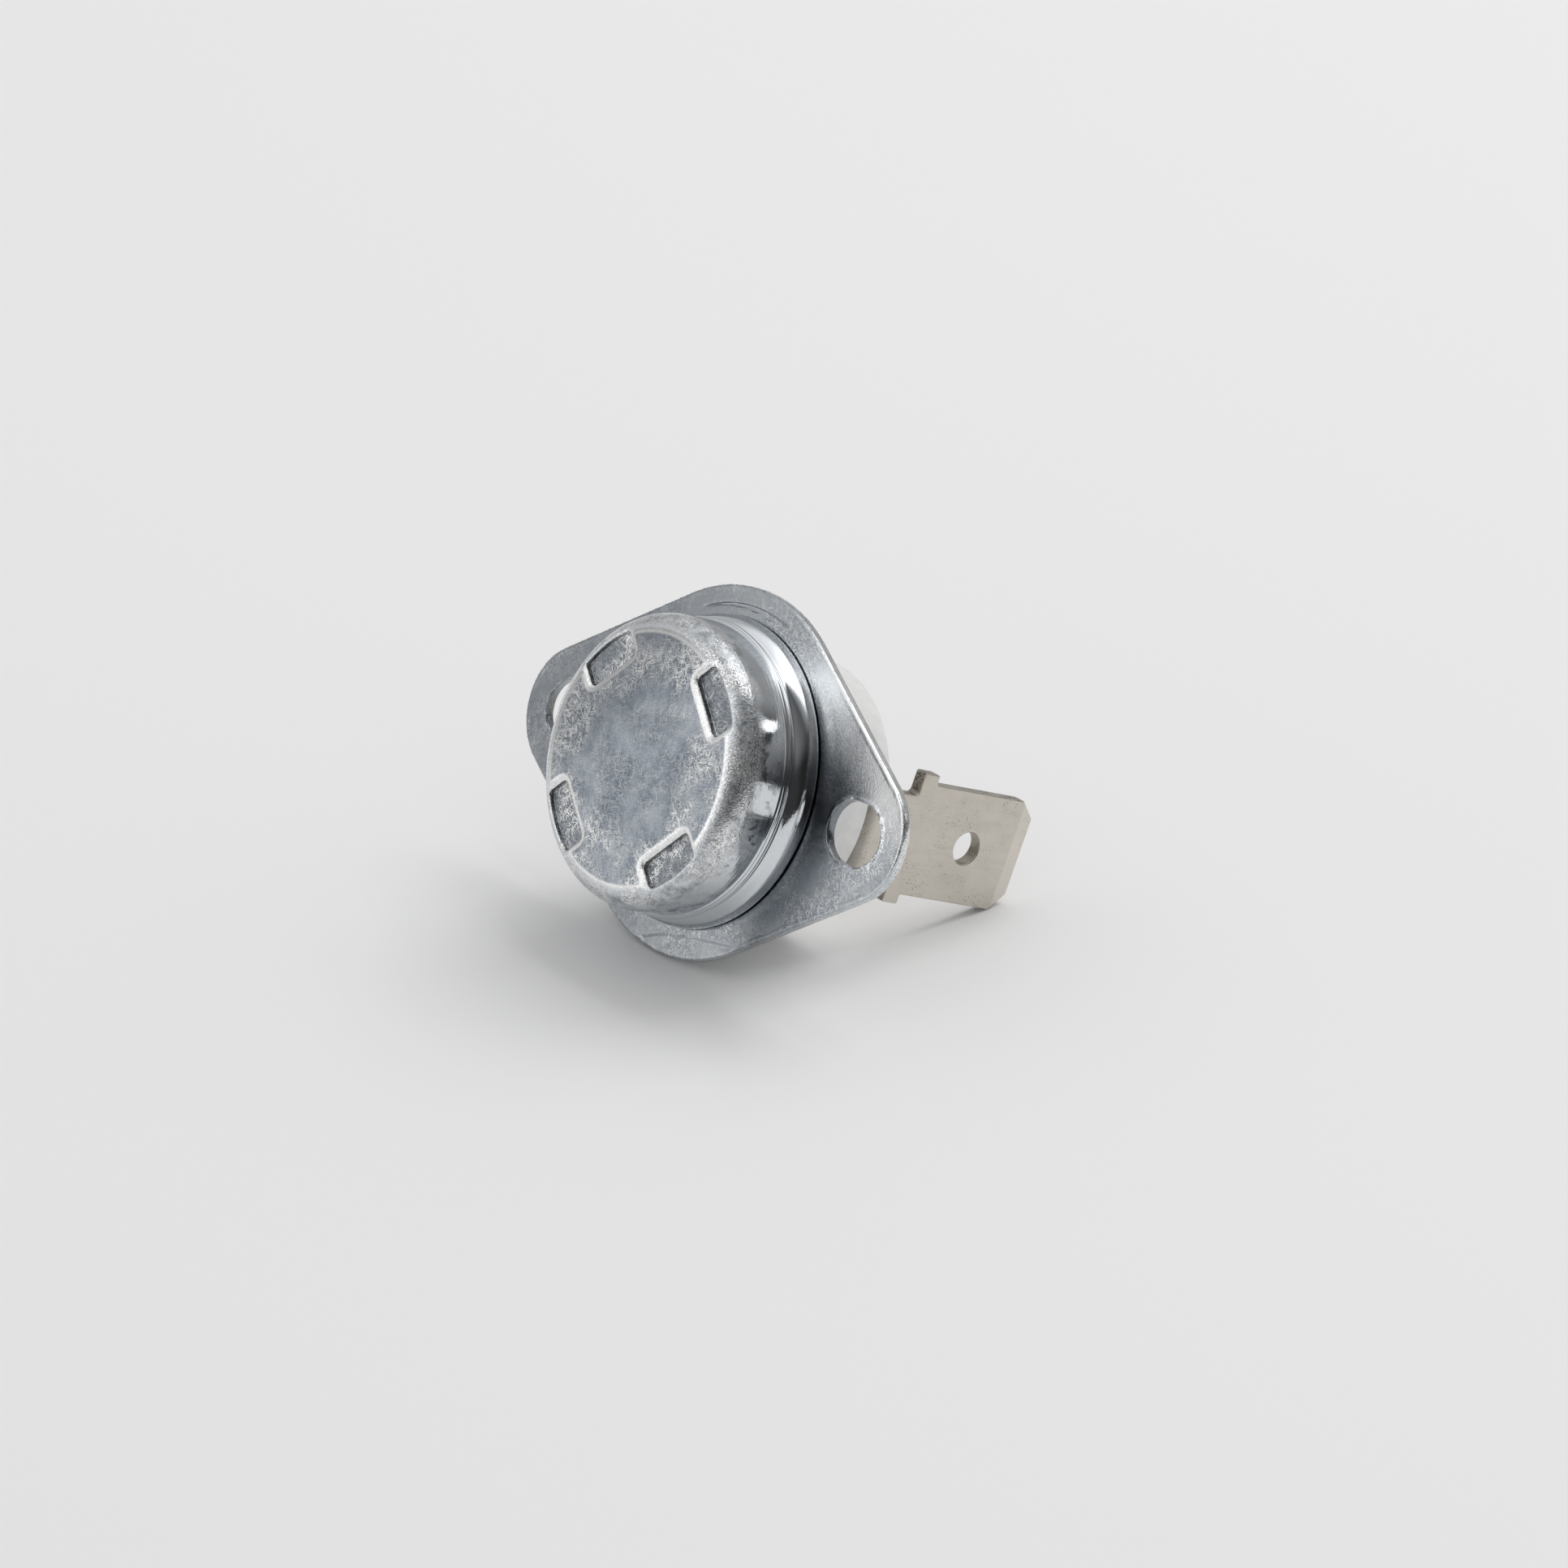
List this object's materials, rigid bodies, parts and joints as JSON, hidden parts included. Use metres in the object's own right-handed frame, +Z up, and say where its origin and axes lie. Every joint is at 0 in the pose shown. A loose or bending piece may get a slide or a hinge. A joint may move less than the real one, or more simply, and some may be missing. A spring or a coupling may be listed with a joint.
{
  "type": "bimetal thermostat",
  "caption": "Snap-action disc thermostat: drawn cap with dimples, loose slotted flange, ceramic body and bent push-on tabs.",
  "frame": {"origin": "centre of the flat sensing face of the cap", "axes": "-Y out of the sensing face, +Y along the terminals, X along the flange's two holes, Z up"},
  "size_m": [0.0316, 0.0225, 0.0204],
  "materials": {
    "cap_aluminium": "drawn sheet, tumbled matt face and bright rolled edges",
    "flange_aluminium": "stamped sheet, satin with fine scratches",
    "white_ceramic": "fired steatite, matt white",
    "pin_ceramic": "fired steatite, matt ivory",
    "nickel_plate": "nickel-plated brass, satin",
    "rivet_nickel": "nickel-plated steel, bright",
    "disc_bimetal": "rolled bimetal strip, satin",
    "spring_bronze": "phosphor bronze strip",
    "strip_brass": "rolled brass",
    "contact_silver": "silver alloy"
  },
  "bodies": {
    "flange": {"mounting_flange": "flange_aluminium"},
    "housing": {"sensing_cap": "cap_aluminium", "ceramic_body": "white_ceramic", "guide_plate": "white_ceramic", "bimetal_disc": "disc_bimetal", "terminal_right": "nickel_plate", "terminal_left": "nickel_plate", "rivet_right": "rivet_nickel", "rivet_left": "rivet_nickel", "washer_right": "rivet_nickel", "washer_left": "rivet_nickel", "arm_standoff": "strip_brass", "arm_carrier": "strip_brass", "fixed_contact_bracket": "strip_brass", "fixed_contact": "contact_silver"},
    "arm": {"contact_arm": "spring_bronze", "moving_contact": "contact_silver"},
    "pin": {"push_pin": "pin_ceramic"}
  },
  "joints": [
    {"name": "flange_turn", "type": "hinge", "parent": "flange", "child": "housing", "pos_m": [0, 0.00564, 0], "axis": [0, 1, 0], "continuous": true},
    {"name": "arm_swing", "type": "hinge", "parent": "housing", "child": "arm", "pos_m": [0.00234, 0.0072, -0.00016], "axis": [-0.0698, 0, -0.9976], "range_deg": [0, 6.1], "stiffness_Nm_per_rad": 0.02},
    {"name": "pin_slide", "type": "slide", "parent": "housing", "child": "pin", "axis": [0, 1, 0], "range_m": [0, 0.00025], "deforming": ["bimetal_disc"]}
  ],
  "couplings": [
    {"joint": "arm_swing", "follows": "pin_slide", "rad_per_m": 425.53}
  ]
}
